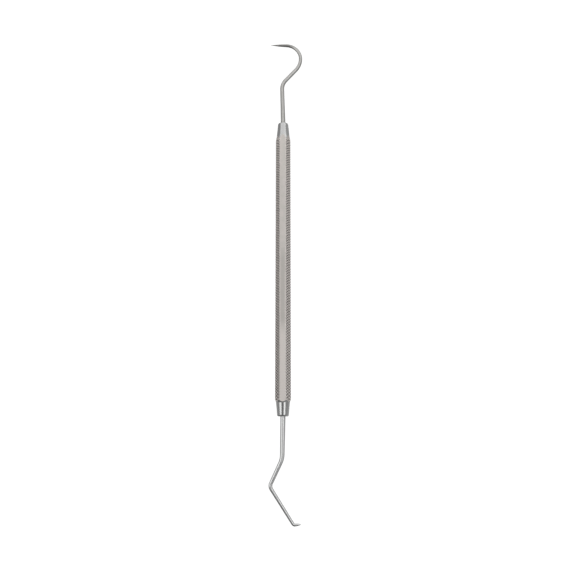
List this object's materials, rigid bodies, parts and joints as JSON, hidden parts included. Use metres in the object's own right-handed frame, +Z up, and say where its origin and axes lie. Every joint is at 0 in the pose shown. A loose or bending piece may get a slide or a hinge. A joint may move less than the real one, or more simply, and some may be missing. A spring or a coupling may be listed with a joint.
{
  "type": "double-ended dental hand instrument",
  "caption": "Double-ended dental hand instrument: slim hexagonal steel handle, a needle-pointed hook at one end and an angled shank with a short side-pointing tip at the other.",
  "frame": {"origin": "middle of the smooth lower flat of the hexagonal handle, which the part rests on, halfway between the handle's two end faces", "axes": "+Y along the handle towards the hook end, +X to the right seen from above, +Z up, square to the handle's two smooth flats"},
  "size_m": [0.0123, 0.1777, 0.0048],
  "materials": {
    "handle_steel": "satin, with knurled side faces",
    "working_end_steel": "polished"
  },
  "bodies": {
    "root": {"handle": "handle_steel", "hook_end": "working_end_steel", "angled_end": "working_end_steel"}
  },
  "joints": []
}
